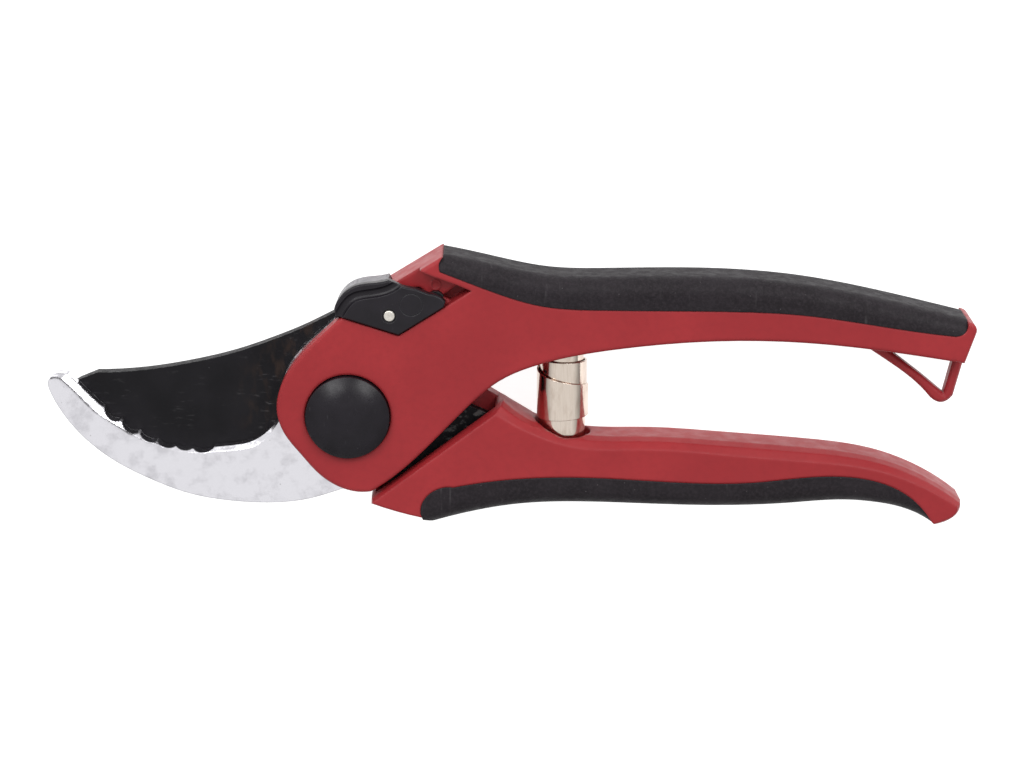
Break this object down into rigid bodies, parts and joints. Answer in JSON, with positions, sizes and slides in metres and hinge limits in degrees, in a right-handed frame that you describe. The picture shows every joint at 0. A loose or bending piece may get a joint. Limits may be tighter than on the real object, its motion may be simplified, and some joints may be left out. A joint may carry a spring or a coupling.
{
  "type": "bypass pruner",
  "caption": "Hand pruner with a coated cutting blade, a chromed hook, soft-grip handles, a volute spring, a thumb lock and a hanging loop, shown closed and locked",
  "frame": {"origin": "on the pivot axis, on the flat outer face of the pivot nut, which lies in the plane that the pruner rests on", "axes": "+X from the pivot towards the handle ends, +Y from the lower handle towards the upper one, +Z from the resting side towards the front, along the pivot axis"},
  "size_m": [0.208, 0.0626, 0.0202],
  "materials": {
    "red_nylon": "satin red moulded nylon",
    "grip_rubber": "matte dark grey soft grip",
    "hook_chrome": "bright chromed steel, slightly mottled",
    "blade_coated": "black non-stick coating on steel",
    "black_plastic": "satin black moulded plastic",
    "spring_nickel": "nickel plated strip steel",
    "steel_bright": "bright turned steel",
    "steel_black": "black oxide steel",
    "bush_bronze": "plain bronze"
  },
  "bodies": {
    "hook_handle": {"upper_handle": "red_nylon", "upper_grip": "grip_rubber", "hook": "hook_chrome", "hook_tang_screws": "steel_black", "pivot_bolt": "steel_bright", "pivot_cap": "black_plastic", "pivot_nut": "steel_bright", "pivot_washer": "steel_bright", "upper_spring_peg": "steel_bright", "lock_detent_spring": "steel_black", "volute_spring": "spring_nickel"},
    "blade_handle": {"lower_handle": "red_nylon", "lower_grip": "grip_rubber", "cutting_blade": "blade_coated", "blade_tang_screws": "steel_black", "pivot_bush": "bush_bronze", "lower_spring_peg": "steel_bright"},
    "thumb_lock": {"lock_slider": "black_plastic", "lock_pin": "steel_bright", "lock_clip": "steel_black"}
  },
  "joints": [
    {"name": "handle_pivot", "type": "hinge", "parent": "hook_handle", "child": "blade_handle", "pos_m": [0, 0, 0.008], "axis": [0, 0, -1], "range_deg": [0, 28], "deforming": ["volute_spring"]},
    {"name": "lock_slide", "type": "slide", "parent": "hook_handle", "child": "thumb_lock", "axis": [0.8523, 0.5231, 0], "range_m": [0, 0.0045]}
  ]
}
